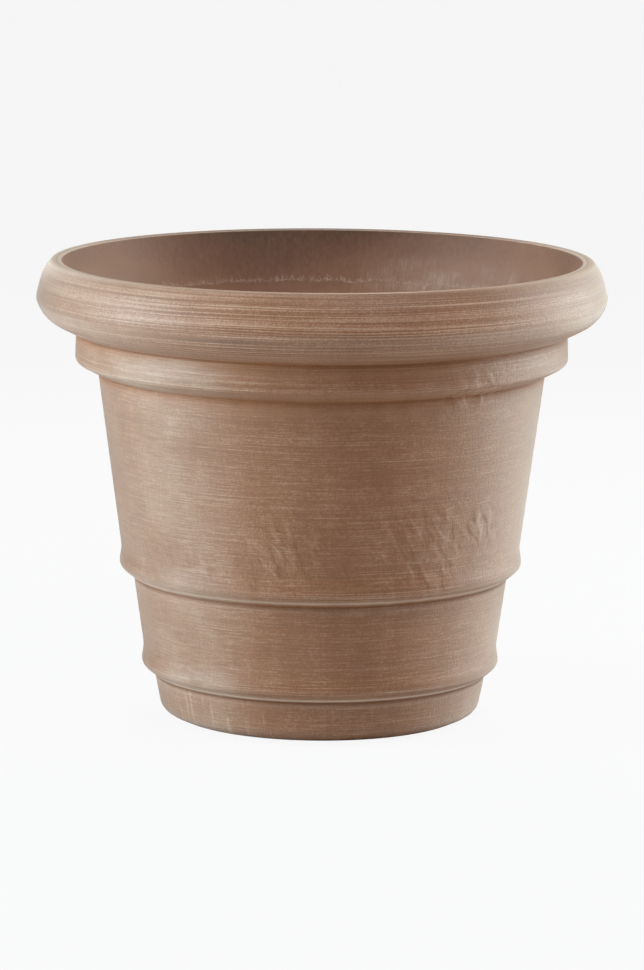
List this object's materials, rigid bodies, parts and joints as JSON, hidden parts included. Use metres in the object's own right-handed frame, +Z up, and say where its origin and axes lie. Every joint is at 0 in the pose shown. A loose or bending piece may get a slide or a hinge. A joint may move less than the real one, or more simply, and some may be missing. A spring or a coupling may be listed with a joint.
{
  "type": "outdoor plant pot",
  "caption": "Round tapered outdoor plant pot with a rolled rim, collar and moulded beads on its wall, a lift-out drain plug in its floor and pads under its foot.",
  "frame": {"origin": "centre of the pot's base on the ground, under the foot pads", "axes": "+Z up along the pot's axis, -Y towards the front as pictured"},
  "size_m": [0.4, 0.4, 0.325],
  "materials": {
    "brushed_composite": "brushed brown stone-filled composite outside, as moulded inside",
    "plug_rubber": "matt moulded rubber",
    "pad_rubber": "matt moulded rubber"
  },
  "bodies": {
    "pot": {"pot_body": "brushed_composite", "foot_pad_front": "pad_rubber", "foot_pad_right": "pad_rubber", "foot_pad_back": "pad_rubber", "foot_pad_left": "pad_rubber"},
    "plug": {"drain_plug": "plug_rubber"}
  },
  "joints": [
    {"name": "plug_lift", "type": "slide", "parent": "pot", "child": "plug", "axis": [0, 0, 1], "range_m": [0, 0.35]}
  ]
}
